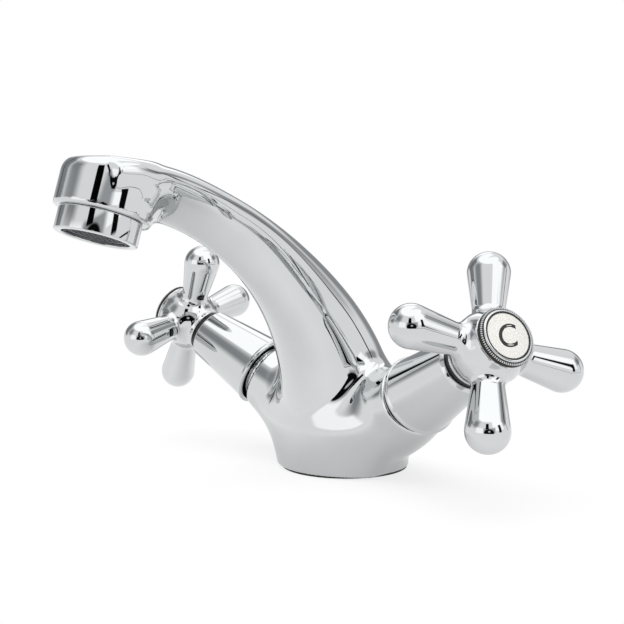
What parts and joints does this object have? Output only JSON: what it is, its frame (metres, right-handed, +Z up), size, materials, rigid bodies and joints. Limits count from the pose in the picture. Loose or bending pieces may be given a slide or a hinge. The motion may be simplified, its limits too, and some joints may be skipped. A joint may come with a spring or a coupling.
{
  "type": "cross handle tap",
  "caption": "Deck mounted basin tap: a swan spout cast in one with two raised side arms, each with a conical cover and a cross handle.",
  "frame": {"origin": "middle of the round base's foot, on the deck", "axes": "+Z up from the deck, -Y the way the spout points, +X the cold handle's side"},
  "size_m": [0.2039, 0.1492, 0.1154],
  "materials": {
    "cast_chrome": "polished brass casting with bright chromium plating",
    "turned_chrome": "turned brass with bright chromium plating",
    "knurled_chrome": "knurled brass ring with bright chromium plating",
    "black_rubber": "moulded black rubber",
    "jet_plastic": "moulded grey acetal",
    "fibre": "pressed red fibre",
    "valve_brass": "turned brass",
    "valve_ceramic": "lapped alumina ceramic",
    "clip_steel": "stainless steel",
    "slide_plastic": "moulded black acetal",
    "index_white": "glossy off-white plastic with a printed letter"
  },
  "bodies": {
    "tap": {"tap_body": "cast_chrome", "base_gasket": "black_rubber", "aerator_ring": "turned_chrome", "aerator_insert": "jet_plastic", "aerator_washer": "black_rubber", "cold_valve_washer": "fibre", "cold_valve_body": "valve_brass", "cold_seat_seal": "black_rubber", "cold_fixed_disc": "valve_ceramic", "cold_cover": "turned_chrome", "cold_slide_ring": "slide_plastic", "hot_valve_washer": "fibre", "hot_valve_body": "valve_brass", "hot_seat_seal": "black_rubber", "hot_fixed_disc": "valve_ceramic", "hot_cover": "turned_chrome", "hot_slide_ring": "slide_plastic"},
    "cold_handle_group": {"cold_handle": "cast_chrome", "cold_handle_screw": "clip_steel", "cold_index_ring": "knurled_chrome", "cold_index_plate": "index_white", "cold_spindle": "valve_brass", "cold_spindle_seal": "black_rubber", "cold_spindle_clip": "clip_steel", "cold_moving_disc": "valve_ceramic"},
    "hot_handle_group": {"hot_handle": "cast_chrome", "hot_handle_screw": "clip_steel", "hot_index_ring": "knurled_chrome", "hot_index_plate": "index_white", "hot_spindle": "valve_brass", "hot_spindle_seal": "black_rubber", "hot_spindle_clip": "clip_steel", "hot_moving_disc": "valve_ceramic"}
  },
  "joints": [
    {"name": "cold_turn", "type": "hinge", "parent": "tap", "child": "cold_handle_group", "pos_m": [0.08182, -0.01492, 0.0537], "axis": [0.8568, -0.2296, 0.4617], "range_deg": [-90, 0]},
    {"name": "hot_turn", "type": "hinge", "parent": "tap", "child": "hot_handle_group", "pos_m": [-0.08182, -0.01492, 0.0537], "axis": [-0.8568, -0.2296, 0.4617], "range_deg": [0, 90]}
  ]
}
